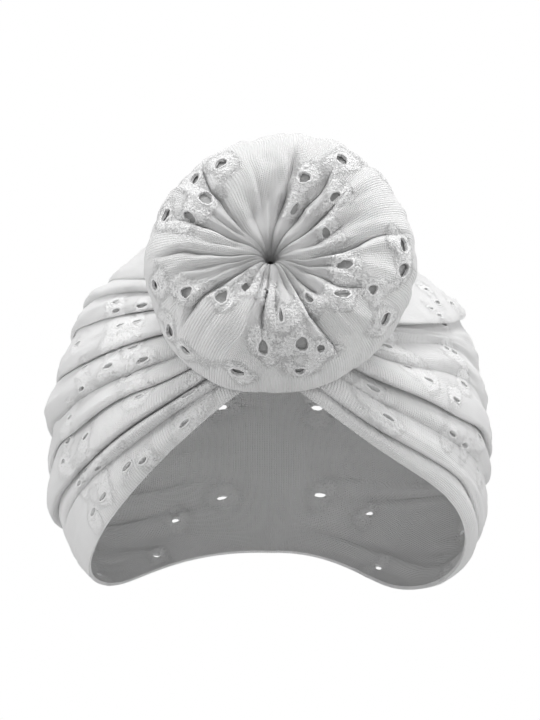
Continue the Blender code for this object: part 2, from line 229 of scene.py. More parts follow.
# A row is an eyelet of the knot: its degrees round the knot and round the filled ring, and its width round
# the knot and its length the other way as shares of KNOT_EYELET.
KnotEyelet = namedtuple("KnotEyelet", "turn bend wide long")
KNOT_EYELETS = (
    KnotEyelet(2, 40, 1.1, 1.0), KnotEyelet(18, 104, 1.1, 0.7), KnotEyelet(42, 86, 0.8, 1.1),
    KnotEyelet(44, 16, 0.9, 0.9), KnotEyelet(56, 54, 1.0, 1.0), KnotEyelet(65, 109, 0.9, 0.9),
    KnotEyelet(70, 86, 0.9, 0.9), KnotEyelet(124, 58, 1.0, 0.8), KnotEyelet(139, 48, 1.0, 0.9),
    KnotEyelet(146, 75, 1.1, 1.0), KnotEyelet(161, 69, 1.1, 1.0), KnotEyelet(162, 39, 1.0, 0.8),
    KnotEyelet(195, 27, 1.0, 0.9), KnotEyelet(208, 62, 0.9, 1.0), KnotEyelet(215, 15, 1.0, 1.0),
    KnotEyelet(224, 85, 1.0, 1.0), KnotEyelet(226, 14, 1.0, 1.0), KnotEyelet(234, 108, 0.6, 0.6),
    KnotEyelet(251, 22, 1.1, 0.9), KnotEyelet(258, 105, 0.5, 0.8), KnotEyelet(262, 54, 0.7, 1.1),
    KnotEyelet(272, 85, 0.4, 1.1), KnotEyelet(279, 24, 1.0, 0.8), KnotEyelet(282, 55, 0.9, 0.9),
    KnotEyelet(291, 44, 0.6, 0.6), KnotEyelet(300, 94, 0.45, 0.8), KnotEyelet(320, 80, 1.0, 1.1),
    KnotEyelet(326, 29, 1.1, 0.8), KnotEyelet(333, 60, 1.0, 0.8), KnotEyelet(342, 90, 0.7, 1.1),
    KnotEyelet(350, 36, 1.1, 0.9),
)

# Eyelets, the half length of each one way and the other, and the lace round them
CAP_EYELET = (0.00085, 0.0022)
KNOT_EYELET = (0.0020, 0.0021)
EYELET_SCALES = (0.85, 1.15)
EYELET_LUMPS = ((0.06, 2), (0.05, 3), (0.03, 7))
RIM_WIDTH = 0.00034
RIM_HEIGHT = 0.00016
RIM_STAND = 1.04
RIM_OUT = 0.4
RIM_UP = 0.1
RIM_LUMPS = (0.5, 1.5)
RIM_STEPS = 36
RIM_SIDES = 6
LACE_REACH = 0.0080
LACE_FEATHER = 0.0050
LACE_RISE = 0.00018
LACE_RELIEF = (0.4, 0.9)
LACE_RAGGED = 0.0030
LACE_LUMP = 0.0045

# Cloth grain
SMOOTH_BELOW = 62
WELD = 1e-6
RIB_PITCH = 0.00075
STITCH_PITCH = 0.00062
GRAIN_RADIUS = 0.037
RIB_SHARE = 0.22
STITCH_SHARE = 0.55
FUZZ_SHARE = 0.55
THREAD_SIZE = 0.0007
THREAD_SPREAD = 3.2

# Tones of the jersey, plain and shaded, and of its embroidery thread; then of the rims and the wadding
CAP_TONES = (0.86, 0.76, 0.87)
KNOT_TONES = (0.83, 0.75, 0.97)
RIM_TONES = (0.84, 0.90)
WADDING_TONES = (0.46, 0.54)

# Camera and room
CAMERA_ELEVATION = 5.0
CAMERA_DISTANCE = 1.25
CAMERA_TARGET = Vector((0.0, 0.0, -0.0435))
METRES_PER_PIXEL = 0.000322
PICTURE_HEIGHT = 720
SENSOR = 36.0
FLOOR_LEVEL = -0.42
FLOOR_LENGTH = 12.0
FLOOR_AHEAD = 4.0
FLOOR_WIDTH = 14.0
FLOOR_TONE = 0.55
WALL_AT = 3.2
WALL_CURVE = 1.2
ROOM_LIGHT = 0.115
Light = namedtuple("Light", "name place target size power")
LIGHTS = (
    Light("key_softbox", (-0.35, -0.9, 1.5), (0, -0.03, -0.04), 0.9, 3.0),
    Light("top_softbox", (0.2, 0.1, 1.6), (0, 0, -0.04), 1.2, 27.0),
    Light("front_fill", (0.0, -2.2, 0.5), (0, 0, -0.05), 1.6, 12.6),
    Light("left_softbox", (-1.5, -0.1, 0.35), (0, 0, -0.06), 1.3, 14.4),
    Light("right_softbox", (1.5, -0.1, 0.35), (0, 0, -0.06), 1.3, 12.8),
)


def smooth_step(value):
    value = np.clip(value, 0.0, 1.0)
    return value * value * (3.0 - 2.0 * value)


def mix(low, high, share):
    return low + (high - low) * share


def signed_power(value, power):
    return np.abs(value) ** power * np.sign(value)


def column_of(rows, name):
    return np.array([getattr(row, name) for row in rows], float)


def soft_noise(across, along, seed):
    """Smooth random heights from -1 to 1 over a plane, about one bump a unit."""
    cells = 256
    lattice = np.random.default_rng(seed).uniform(-1.0, 1.0, (cells, cells))
    x, y = np.floor(across).astype(int), np.floor(along).astype(int)
    u, v = smooth_step(across - x), smooth_step(along - y)
    low = mix(lattice[x % cells, y % cells], lattice[(x + 1) % cells, y % cells], u)
    high = mix(lattice[x % cells, (y + 1) % cells], lattice[(x + 1) % cells, (y + 1) % cells], u)
    return mix(low, high, v)


def midline_direction(elevation, facing):
    angle = np.radians(elevation)
    return np.stack([np.zeros_like(angle), facing * np.cos(angle), np.sin(angle)], -1)


def unit(vectors):
    return vectors / np.maximum(np.linalg.norm(vectors, axis=-1, keepdims=True), 1e-12)


def head_radius(direction):
    """Distance from the head's centre to the head form: an ellipsoid above, fuller and drawn in below."""
    level = np.hypot(direction[..., 0] / HALF_BREADTH, direction[..., 1] / HALF_LENGTH)
    height = direction[..., 2]
    above = 1.0 / np.hypot(level, height / CROWN_RISE)
    sunk = np.maximum(-height, 0.0) / LOWER_DEPTH
    below = (level ** LOWER_FULLNESS + sunk ** LOWER_FULLNESS) ** (-1.0 / LOWER_FULLNESS)
    return np.where(height >= 0, above, below)


def fold_fade(turn):
    """The folds die out at the gather in front and along the middle of the back."""
    return smooth_step(turn / radians(GATHER_REACH)) * smooth_step((pi - turn) / radians(NAPE_REACH))


def side_share(turn):
    """How far a place is from the folds near the knot (0) to those round the side (1)."""
    return smooth_step((turn - radians(SIDE_STRENGTH_FROM)) / radians(SIDE_STRENGTH_TO - SIDE_STRENGTH_FROM))


def overhang(half, along, turn):
    """How far down a place on the cloth is carried, in folds, where a crest hangs over the fold below it."""
    lower = np.clip(np.floor(along), 0, len(half.folds) - 2).astype(int)
    part = np.clip(along - lower, 0.0, 1.0)
    crest = np.sin(pi * part ** column_of(half.folds, "lean")[lower + 1])
    tuck = column_of(half.folds, "tuck")[lower + 1] * mix(1.0, FAR_TUCK, side_share(turn))
    return tuck * crest * (1 - part) ** 2 * fold_fade(turn)


def cap_surface(half, along, turn):
    """The outer face of the cloth: along counts folds up from the hem, turn runs 0 to pi round the side."""
    count = len(half.folds) - 1
    lower = np.clip(np.floor(along), 0, count - 1).astype(int)
    part = np.clip(along - lower, 0.0, 1.0)
    upper = lower + 1
    fade = fold_fade(turn)
    crest = np.sin(pi * part ** column_of(half.folds, "lean")[upper])
    far = side_share(turn)
    near_height = column_of(half.folds, "near")[upper]
    far_height = column_of(half.folds, "far")[upper]
    degrees_round = np.degrees(turn)
    uneven = soft_noise(lower * 5.7 + 3, degrees_round / UNEVEN_HEIGHT_DEGREES, half.seed + 5)
    uneven = 1 + UNEVEN_HEIGHT * uneven
    roundness = mix(NEAR_ROUNDNESS, FAR_ROUNDNESS, far)
    swell = mix(near_height, far_height, far) * np.maximum(crest, 0.0) ** roundness * uneven
    lift = column_of(half.folds, "lift")
    rise = swell + mix(lift[lower], lift[upper], part)
    sway = soft_noise(along * 0.7 + 9, degrees_round / UNEVEN_LINE_DEGREES, half.seed + 6)
    sway = UNEVEN_LINE * sway * fade
    ends = smooth_step(along) * smooth_step(count - along)
    place = np.clip(along - overhang(half, along, turn) + sway * ends, 0.0, count)
    below = np.clip(np.floor(place), 0, count - 1).astype(int)
    rest = place - below
    gather = column_of(half.folds, "gather")
    side_height = column_of(half.folds, "side")
    share = mix(place / count, mix(gather[below], gather[below + 1], rest), fade)
    elevation = np.radians(mix(side_height[below], side_height[below + 1], rest))
    front = midline_direction(mix(GATHER_LOW, GATHER_HIGH, share), -1)
    nape = midline_direction(mix(NAPE_LOW, NAPE_HIGH, share), 1)
    side = np.stack([np.cos(elevation), np.zeros_like(elevation), np.sin(elevation)], -1)
    swing = side - (front + nape) / 2
    swing[..., 2] *= np.sin(np.maximum(turn, pi / 2))
    arc = front * (1 + np.cos(turn))[..., None] / 2 + nape * (1 - np.cos(turn))[..., None] / 2
    direction = unit(arc + swing * np.sin(turn)[..., None])
    bows = column_of(half.folds, "bow")
    direction[..., 2] += mix(bows[below], bows[below + 1], rest) * np.sin(turn) ** 2 * np.cos(turn)
    wave = half.wave * np.sin(2 * turn) ** 2 * np.cos(2 * turn) * (turn < pi / 2)
    direction[..., 2] += wave * (1 - share) ** 2
    direction = unit(direction)
    wrinkle = cap_wrinkles(half, elevation, turn) * smooth_step(turn / radians(WRINKLES_BEGIN))
    wrinkle *= np.clip(np.sin(turn), 0, 1)
    hem_calm = smooth_step(along / HEM_CALM)
    reach = head_radius(direction) + CAP_WALL + FOLD_HEIGHT * rise * fade + wrinkle * hem_calm
    direction[..., 0] *= half.side
    return HEAD_CENTRE + direction * reach[..., None]


def cap_wrinkles(half, elevation, turn):
    """The height of the small creases at a place on the cap."""
    across = np.degrees(elevation)
    along = np.degrees(turn)
    total = 0.0
    for number, row in enumerate(WRINKLES):
        bumps = soft_noise(across / row.across + along / row.slant, along / row.along, half.seed + number)
        total = total + row.height * np.exp(-along / row.reach) * bumps
    return total


def knot_frame():
    """The knot's centre and its sideways, upward and outward axes."""
    direction = midline_direction(np.array(KNOT_SEAT_ELEVATION), -1)
    reach = head_radius(direction) + CAP_WALL + KNOT_DEPTH / 2 - KNOT_SINK
    centre = HEAD_CENTRE + direction * reach + np.array([KNOT_ASIDE, 0.0, 0.0])
    tilt = radians(KNOT_TILT)
    return (centre, np.array([1.0, 0.0, 0.0]), np.array([0.0, sin(tilt), cos(tilt)]),
            np.array([0.0, -cos(tilt), sin(tilt)]))


def ring_section(bend):
    """The middle radius of the filled ring and its section at an angle round it."""
    ring = (KNOT_RADIUS + THROAT_RADIUS) / 2
    half_width = (KNOT_RADIUS - THROAT_RADIUS) / 2
    out = half_width * signed_power(np.cos(bend), 2 / KNOT_FULLNESS)
    up = KNOT_DEPTH / 2 * signed_power(np.sin(bend), 2 / KNOT_FULLNESS)
    return ring, out, up


def crease_angles(index, spread, front):
    """A crease's angle round the knot: a curve through its angles at the pinch, halfway and at the rim."""
    count = len(CREASES)
    pinch, middle, rim = (column_of(CREASES, name)[index % count] for name in ("pinch", "middle", "rim"))
    out = np.where(front, np.clip(spread, PINCH_SHARE, 1.0), 1.0)
    near, half, far = out - PINCH_SHARE, out - MIDDLE_SHARE, out - 1.0
    first = half * far / ((PINCH_SHARE - MIDDLE_SHARE) * (PINCH_SHARE - 1.0))
    second = near * far / ((MIDDLE_SHARE - PINCH_SHARE) * (MIDDLE_SHARE - 1.0))
    third = near * half / ((1.0 - PINCH_SHARE) * (1.0 - MIDDLE_SHARE))
    stray = CREASE_STRAY * soft_noise((index % count) * 3.7, out * 5.5, CREASE_SEED)
    stray = stray * np.sin(pi * out) ** 0.5
    return pinch * first + middle * second + rim * third + stray + 360.0 * (index // count)


def petal_of_turn(turn_degrees, bend):
    """The place along the row of petals, counted in petals, at an angle round the knot."""
    ring, out, _ = ring_section(np.array(bend))
    spread = (ring + out) / KNOT_RADIUS
    edges = [float(crease_angles(np.array(i), spread, bend > 0)) for i in range(-1, len(CREASES) + 2)]
    wanted = turn_degrees - 360 if turn_degrees >= edges[-2] else turn_degrees
    wanted = wanted if wanted >= edges[1] else wanted + 360
    petal = max(i for i, edge in enumerate(edges) if edge <= wanted)
    return petal - 1 + (wanted - edges[petal]) / (edges[petal + 1] - edges[petal])


def knot_relief(turn, slope, spread, bend):
    """Small unevenness of the cover: broad puffs, drawn lines and fine ones. Divisors are degrees a bump."""
    stray = soft_noise(turn / 21, slope / 30, STRAY_SEED)
    puff = PUFF_HEIGHT * soft_noise(turn / 34 + 3, slope / 48 + turn / 90, PUFF_SEED)
    line = LINE_HEIGHT * soft_noise(turn / 8 + 0.6 * stray, slope / 110 + turn / 30 + stray, LINE_SEED)
    fine = FINE_HEIGHT * soft_noise(turn / 3.4 + stray, slope / 60 + turn / 18 + stray, FINE_SEED)
    calm = smooth_step((spread - RELIEF_FROM) / RELIEF_EASE)
    return (puff + (line + fine) * smooth_step((bend - LINES_FROM) / LINES_EASE)) * calm


def knot_surface(place, bend, inset=0.0):
    """A face of the knot: place counts petals round it, bend is the angle round the filled ring, 0 at the
    rim, 90 degrees at the front and 180 at the throat, and inset is the depth below the cover's face."""
    count = len(CREASES)
    petal = np.floor(place).astype(int)
    part = place - petal
    ring, out, up = ring_section(bend)
    spread = (ring + out) / KNOT_RADIUS
    front = bend > 0
    first = crease_angles(petal, spread, front)
    second = crease_angles(petal + 1, spread, front)
    turn = mix(first, second, part)
    here, following = petal % count, (petal + 1) % count
    lean = column_of(CREASES, "lean")[here]
    swell = np.sin(pi * part ** lean) ** CREASE_SHARPNESS
    starts, depths, ends = (column_of(CREASES, name) for name in ("start", "depth", "end"))
    early = smooth_step((spread - starts[here]) / START_EASE + 1)
    late = smooth_step((spread - starts[following]) / START_EASE + 1)
    uneven_here = 1 + CREASE_UNEVEN * soft_noise(here * 2.9, spread * 6, DEPTH_SEED)
    uneven_following = 1 + CREASE_UNEVEN * soft_noise(following * 2.9, spread * 6, DEPTH_SEED)
    depth = mix(depths[here] * early * uneven_here, depths[following] * late * uneven_following, part)
    end = mix(ends[here], ends[following], part)
    sink = column_of(CREASES, "sink")[here]
    width = (ring + out) * np.radians(second - first)
    deepest = np.minimum(CREASE_DEPTH, CREASE_WIDTH_LIMIT * width)
    rim_fade = smooth_step((end - spread) / (RIM_EASE * end))
    throat_fade = smooth_step((spread - THROAT_CALM) / THROAT_EASE)
    turned = smooth_step(bend / radians(CREASE_BEND))
    drop = deepest * (depth * (1 - swell) + sink * swell) * rim_fade * throat_fade * turned
    drop = drop + inset + knot_relief(turn, np.degrees(np.arctan2(up, out)), spread, bend)
    shrink = 1 - drop / np.hypot(out, up)
    radius = ring + out * shrink
    outlines = column_of(CREASES, "outline")
    outline = mix(outlines[here], outlines[following], smooth_step(part))
    radius = radius * mix(1.0, outline, smooth_step(spread))
    angle = np.radians(turn)
    off_centre = (1 - np.minimum(spread, 1.0)) ** 2
    aside = radius * np.cos(angle) + PINCH_ASIDE * off_centre
    above = radius * np.sin(angle) - PINCH_DROP * off_centre
    centre, sideways, upward, outward = knot_frame()
    inner_side = np.where(front, 1.0, smooth_step((-bend - radians(120)) / radians(60)))
    level = up * shrink + FUNNEL_LIFT * (1 - smooth_step(spread / FUNNEL_SHARE)) * inner_side
    return (centre + aside[..., None] * sideways + above[..., None] * upward + level[..., None] * outward)


def make_seat(pieces):
    """A function that keeps points of the knot off the cap's folds."""
    trees = [BVHTree.FromObject(piece, bpy.context.evaluated_depsgraph_get()) for piece in pieces]

    def seat(points, inset):
        rays = points - HEAD_CENTRE
        lengths = np.linalg.norm(rays, axis=-1)
        aims = rays / lengths[..., None]
        floor = head_radius(aims) + CAP_WALL
        near = lengths < floor + 2 * FOLD_HEIGHT + inset
        start = Vector(HEAD_CENTRE)
        for place in np.argwhere(near):
            place = tuple(place)
            ray = Vector(rays[place])
            sideways = ray.cross(Vector((0, 0, 1))).normalized() * SEAT_FEELER
            upward = sideways.cross(ray).normalized() * SEAT_FEELER
            highest = floor[place]
            for step_aside, step_up in ((0, 0), (-1, -1), (-1, 1), (1, -1), (1, 1)):
                aim = (ray + sideways * step_aside + upward * step_up).normalized()
                for tree in trees:
                    hit = tree.ray_cast(start + aim * (highest + SEAT_RAY), -aim)
                    if hit[0] is not None:
                        highest = max(highest, (hit[0] - start).length)
            reach = max(lengths[place], highest + SEAT_GAP + inset)
            points[place] = HEAD_CENTRE + aims[place] * reach
        return points
    return seat


def half_size(surface, first, second, first_share, wanted):
    """The reach in one coordinate of the cloth that spans the wanted half length in metres."""
    reach = 0.01
    for _ in range(6):
        ends = np.array([-reach, reach])
        low, high = surface(first + ends * first_share, second + ends * (1 - first_share))
        reach *= min(max(2 * wanted / float(np.linalg.norm(high - low)), 0.5), 2.0)
    return reach


Eyelet = namedtuple("Eyelet", "first second first_size second_size centre phases")


def make_eyelet(surface, first, second, sizes, dice):
    """An oval hole in the cloth's own coordinates, from its half lengths in metres."""
    centre = surface(np.array([first]), np.array([second]))[0]
    scale = dice.uniform(*EYELET_SCALES)
    return Eyelet(first, second, half_size(surface, first, second, 1, sizes[0] * scale),
                  half_size(surface, first, second, 0, sizes[1] * scale), centre, dice.uniform(0, 2 * pi, 3))


def eyelet_outline(eyelet, angle):
    """The share by which an eyelet's edge stands off its oval: small lumps of thread all round."""
    return 1 + sum(height * np.sin(count * angle + phase)
                   for (height, count), phase in zip(EYELET_LUMPS, eyelet.phases))


def cap_eyelets(half):
    """All eyelets of one half of the cap: those placed on the front, then an even pattern round the back."""
    def surface(along, turn):
        return cap_surface(half, along, turn)
    eyelets = []
    dice = np.random.default_rng(half.seed)
    for fold, line in enumerate(half.folds[1:]):
        places = list(line.eyelets)
        for number, turn in enumerate(range(BACK_EYELETS_FROM, BACK_EYELETS_TO, BACK_EYELET_SPACING)):
            part = BACK_EYELET_PARTS[(fold + number) % len(BACK_EYELET_PARTS)]
            places.append((turn + BACK_EYELET_STEP * (fold % 3), part))
        for turn, part in places:
            alongs = fold + np.linspace(1.0, 0.0, 201)
            carried = alongs - overhang(half, alongs, np.full(alongs.shape, radians(turn)))
            along = float(alongs[np.argmax(carried <= fold + part)])
            eyelets.append(make_eyelet(surface, along, radians(turn), CAP_EYELET, dice))
    return eyelets


def knot_eyelets():
    eyelets = []
    dice = np.random.default_rng(KNOT_EYELET_SEED)
    for row in KNOT_EYELETS:
        place = petal_of_turn(row.turn, radians(row.bend))
        sizes = (KNOT_EYELET[0] * row.wide, KNOT_EYELET[1] * row.long)
        eyelets.append(make_eyelet(knot_surface, place, radians(row.bend), sizes, dice))
    return eyelets


def oval_distance(eyelet, first, second):
    """How far places are from an eyelet's middle, where 1 is its edge."""
    across = (first - eyelet.first) / eyelet.first_size
    along = (second - eyelet.second) / eyelet.second_size
    return np.hypot(across, along) / eyelet_outline(eyelet, np.arctan2(across, along))


def open_cells(eyelets, first, second):
    """Marks the cells inside the eyelets and moves the corners round each hole onto its edge."""
    middle_first = (first[:-1, :-1] + first[1:, 1:]) / 2
    middle_second = (second[:-1, :-1] + second[1:, 1:]) / 2
    holes = np.zeros(middle_first.shape, bool)
    for eyelet in eyelets:
        inside = oval_distance(eyelet, middle_first, middle_second) < 1
        holes |= inside
        touched = np.zeros(first.shape, bool)
        kept = np.zeros(first.shape, bool)
        for rows in (slice(0, -1), slice(1, None)):
            for columns in (slice(0, -1), slice(1, None)):
                touched[rows, columns] |= inside
                kept[rows, columns] |= ~inside
        edge = touched & kept
        distance = oval_distance(eyelet, first[edge], second[edge])
        first[edge] = eyelet.first + (first[edge] - eyelet.first) / distance
        second[edge] = eyelet.second + (second[edge] - eyelet.second) / distance
    return holes


def lace_mask(points, eyelets, seed):
    """How much of each point of the cloth lies under embroidered lace, which grows round the eyelets."""
    nearest = np.full(points.shape[:-1], 1.0)
    for eyelet in eyelets:
        nearest = np.minimum(nearest, np.linalg.norm(points - eyelet.centre, axis=-1))
    ragged = LACE_RAGGED * soft_noise(points[..., 0] / LACE_LUMP + 40, points[..., 2] / LACE_LUMP + 40, seed)
    return smooth_step((LACE_REACH - nearest + ragged) / LACE_FEATHER)


def outward_steps(points):
    """Unit normals of a grid of points."""
    along_rows = np.gradient(points, axis=1)
    along_columns = np.gradient(points, axis=0)
    return unit(np.cross(along_rows, along_columns))


def raise_lace(points, lace, across, along, seed):
    """Lifts the cloth where it is covered with lace, by small uneven heights."""
    relief = LACE_RELIEF[0] + LACE_RELIEF[1] * soft_noise(across, along, seed)
    points += outward_steps(points) * (LACE_RISE * lace * relief)[..., None]


def select_only(piece):
    bpy.ops.object.select_all(action="DESELECT")
    piece.select_set(True)
    bpy.context.view_layer.objects.active = piece


def finish_closed(piece):
    """Turns the faces of a closed piece outwards and shades them smooth."""
    select_only(piece)
    bpy.ops.object.mode_set(mode="EDIT")
    bpy.ops.mesh.select_all(action="SELECT")
    bpy.ops.mesh.normals_make_consistent(inside=False)
    bpy.ops.object.mode_set(mode="OBJECT")
    bpy.ops.object.shade_smooth()


def cloth_piece(name, points, holes, lace, closed_rows, wall, across):
    """A sheet of cloth from a grid of points, pierced where the holes are, with its wall on the inner side.
    Its ribs run where the flat cloth's length across is the same, which is given for each point."""
    rows, columns = points.shape[:2]
    bpy.ops.object.select_all(action="DESELECT")
    bpy.ops.mesh.primitive_grid_add(x_subdivisions=columns - 1, y_subdivisions=rows - 1, size=1.0)
    piece = bpy.context.object
    piece.name = piece.data.name = name
    mesh = piece.data
    mesh.vertices.foreach_set("co", points.reshape(-1).astype(np.float32))
    steps_along = np.linalg.norm(np.diff(points, axis=0, prepend=points[:1]), axis=-1).cumsum(axis=0)
    corners = np.zeros(len(mesh.loops), int)
    mesh.loops.foreach_get("vertex_index", corners)
    lengths = np.stack([across.reshape(-1)[corners], steps_along.reshape(-1)[corners]], -1)
    mesh.uv_layers[0].name = "ClothLengths"
    mesh.uv_layers[0].data.foreach_set("uv", lengths.reshape(-1).astype(np.float32))
    mask = mesh.attributes.new("lace", "FLOAT", "POINT")
    mask.data.foreach_set("value", lace.reshape(-1).astype(np.float32))
    select_only(piece)
    bpy.context.tool_settings.mesh_select_mode = (False, False, True)
    mesh.polygons.foreach_set("select", holes.reshape(-1))
    bpy.ops.object.mode_set(mode="EDIT")
    bpy.ops.mesh.delete(type="FACE")
    if closed_rows:
        bpy.ops.mesh.select_all(action="SELECT")
        bpy.ops.mesh.remove_doubles(threshold=WELD)
    bpy.ops.object.mode_set(mode="OBJECT")
    thicken = piece.modifiers.new("Cloth", "SOLIDIFY")
    thicken.thickness = wall
    thicken.offset = -1.0
    bpy.ops.object.modifier_apply(modifier="Cloth")
    bpy.ops.object.shade_smooth_by_angle(angle=radians(SMOOTH_BELOW))
    return piece


def cap_half(half):
    """One half of the cap as a pierced sheet, and the eyelets in it."""
    eyelets = cap_eyelets(half)
    levels = [0.0]
    for fold in range(1, len(half.folds)):
        degrees_high = half.folds[fold].side - half.folds[fold - 1].side
        length = radians(degrees_high) * (HALF_BREADTH + FOLD_HEIGHT) * ROWS_PER_FOLD_LENGTH
        rows = max(FEWEST_ROWS, round(length / CAP_CELL))
        parts = np.arange(1, rows + 1) / rows
        leaned = parts ** (1 / half.folds[fold].lean)
        levels.extend(fold - 1 + mix(parts, leaned, 0.5))
    rounds = round(pi * (HALF_BREADTH + HALF_LENGTH) / 2 / CAP_CELL)
    turns = np.linspace(0, pi, rounds + 1)[::half.side]
    turn, along = np.meshgrid(turns, np.array(levels))
    holes = open_cells(eyelets, along, turn)
    points = cap_surface(half, along, turn)
    lace = lace_mask(points, eyelets, half.seed + 3)
    raise_lace(points, lace, along * 9, turn * 60, half.seed + 4)
    points[:, np.isin(turns, (0.0, pi)), 0] = 0.0
    points[-1, :, 0] = 0.0
    across = turn * (HALF_BREADTH + HALF_LENGTH) / 2
    piece = cloth_piece(half.name, points, holes, lace, False, CLOTH, across)
    return piece, eyelets


def rims_of(place):
    """The angle at the rim of the crease before a place on the row of petals."""
    index = np.floor(place).astype(int)
    return column_of(CREASES, "rim")[index % len(CREASES)] + 360.0 * (index // len(CREASES))


def knot_cover(seat):
    """The gathered cover of the knot, from its seam at the back over the rim and into the throat."""
    eyelets = knot_eyelets()
    places = []
    for index in range(len(CREASES)):
        span = (CREASES[(index + 1) % len(CREASES)].rim - CREASES[index].rim) % 360
        columns = round(KNOT_COLUMNS * span / 360)
        parts = (1 - np.cos(pi * np.arange(columns) / columns)) / 2
        places.extend(index + mix(np.arange(columns) / columns, parts, 0.35))
    places.append(len(CREASES))
    back = np.linspace(radians(SEAM_BEND), 0, KNOT_BACK_ROWS, endpoint=False)
    front = np.linspace(0, radians(THROAT_BEND), KNOT_FRONT_ROWS)
    place, bend = np.meshgrid(np.array(places), np.concatenate([back, front]))
    holes = open_cells(eyelets, place, bend)
    points = knot_surface(place, bend)
    lace = lace_mask(points, eyelets, KNOT_LACE_SEED)
    raise_lace(points, lace, place * 8, bend * 22, KNOT_RELIEF_SEED)
    points[:, -1] = points[:, 0]
    lace[:, -1] = lace[:, 0]
    points = seat(points, 0.0)
    points[:, -1] = points[:, 0]
    across = GRAIN_RADIUS * np.radians(mix(rims_of(place), rims_of(place + 1), place % 1))
    return cloth_piece("knot_cover_cloth", points, holes, lace, True, KNOT_CLOTH, across), eyelets


def knot_filling(seat):
    """The ring of wadding under the cover."""
    place = np.linspace(0, len(CREASES), WADDING_COLUMNS + 1)[:-1]
    bend = np.linspace(-pi, pi, WADDING_ROWS + 1)[:-1]
    place, bend = np.meshgrid(place, bend)
    inset = KNOT_CLOTH + WADDING_GAP
    points = seat(knot_surface(place, bend, inset), inset)
    bpy.ops.object.select_all(action="DESELECT")
    bpy.ops.mesh.primitive_torus_add(major_segments=WADDING_COLUMNS, minor_segments=WADDING_ROWS)
    piece = bpy.context.object
    piece.name = piece.data.name = "knot_wadding"
    piece.data.vertices.foreach_set("co", points.transpose(1, 0, 2).reshape(-1).astype(np.float32))
    finish_closed(piece)
    return piece


def embroidered_rims(name, surfaces, seed, seat=None):
    """The raised stitched edges of the eyelets, one lumpy ring each, joined into one piece."""
    dice = np.random.default_rng(seed)
    vertices = []
    faces = []
    around = np.arange(RIM_STEPS) * 2 * pi / RIM_STEPS
    section = np.arange(RIM_SIDES) * 2 * pi / RIM_SIDES
    for surface, eyelets in surfaces:
        for eyelet in eyelets:
            edge = RIM_STAND * eyelet_outline(eyelet, around)
            first = eyelet.first + edge * eyelet.first_size * np.sin(around)
            second = eyelet.second + edge * eyelet.second_size * np.cos(around)
            path = surface(first, second)
            if seat:
                path = seat(path, 0.0)
            ahead = unit(np.roll(path, -1, axis=0) - np.roll(path, 1, axis=0))
            middle = path.mean(axis=0)
            away = path - middle
            away = unit(away - (away * ahead).sum(-1, keepdims=True) * ahead)
            outward = np.cross(away, ahead)
            facing = np.sign((outward * (middle - HEAD_CENTRE)).sum(-1, keepdims=True))
            outward = outward * facing
            lumps = dice.uniform(*RIM_LUMPS, RIM_STEPS)
            wide = (RIM_WIDTH * (lumps + np.roll(lumps, 1)) / 2)[:, None, None]
            high = (RIM_HEIGHT * (0.6 + 0.4 * lumps))[:, None, None]
            ring = (path[:, None] + away[:, None] * (RIM_OUT + np.cos(section)[None, :, None]) * wide
                    + outward[:, None] * (np.sin(section)[None, :, None] + RIM_UP) * high)
            base = len(vertices)
            vertices.extend(ring.reshape(-1, 3).tolist())
            for step in range(RIM_STEPS):
                after = (step + 1) % RIM_STEPS
                for corner in range(RIM_SIDES):
                    above = (corner + 1) % RIM_SIDES
                    faces.append((base + step * RIM_SIDES + corner, base + after * RIM_SIDES + corner,
                                  base + after * RIM_SIDES + above, base + step * RIM_SIDES + above))
    mesh = bpy.data.meshes.new(name)
    mesh.from_pydata(vertices, [], faces)
    piece = bpy.data.objects.new(name, mesh)
    bpy.context.collection.objects.link(piece)
    finish_closed(piece)
    return piece


def new_group(name, inputs, outputs):
    """An empty shader node group; inputs and outputs give each socket's name and type."""
    group = bpy.data.node_groups.new(name, "ShaderNodeTree")
    for label, kind in inputs:
        group.interface.new_socket(name=label, in_out="INPUT", socket_type=kind)
    for label, kind in outputs:
        group.interface.new_socket(name=label, in_out="OUTPUT", socket_type=kind)
    return group, group.nodes.new("NodeGroupInput"), group.nodes.new("NodeGroupOutput")


def grey(tone):
    return (tone, tone, tone, 1.0)


def feed(tree, value, socket):
    """Gives a socket a number, a colour or what another node puts out."""
    if isinstance(value, (int, float, tuple)):
        socket.default_value = value
    else:
        tree.links.new(value, socket)


def math_node(tree, operation, *values):
    node = tree.nodes.new("ShaderNodeMath")
    node.operation = operation
    for value, socket in zip(values, node.inputs):
        feed(tree, value, socket)
    return node.outputs[0]


def noise_node(tree, place, scale, detail, roughness):
    node = tree.nodes.new("ShaderNodeTexNoise")
    for value, label in ((place, "Vector"), (scale, "Scale"), (detail, "Detail"), (roughness, "Roughness")):
        feed(tree, value, node.inputs[label])
    return node.outputs["Fac"]


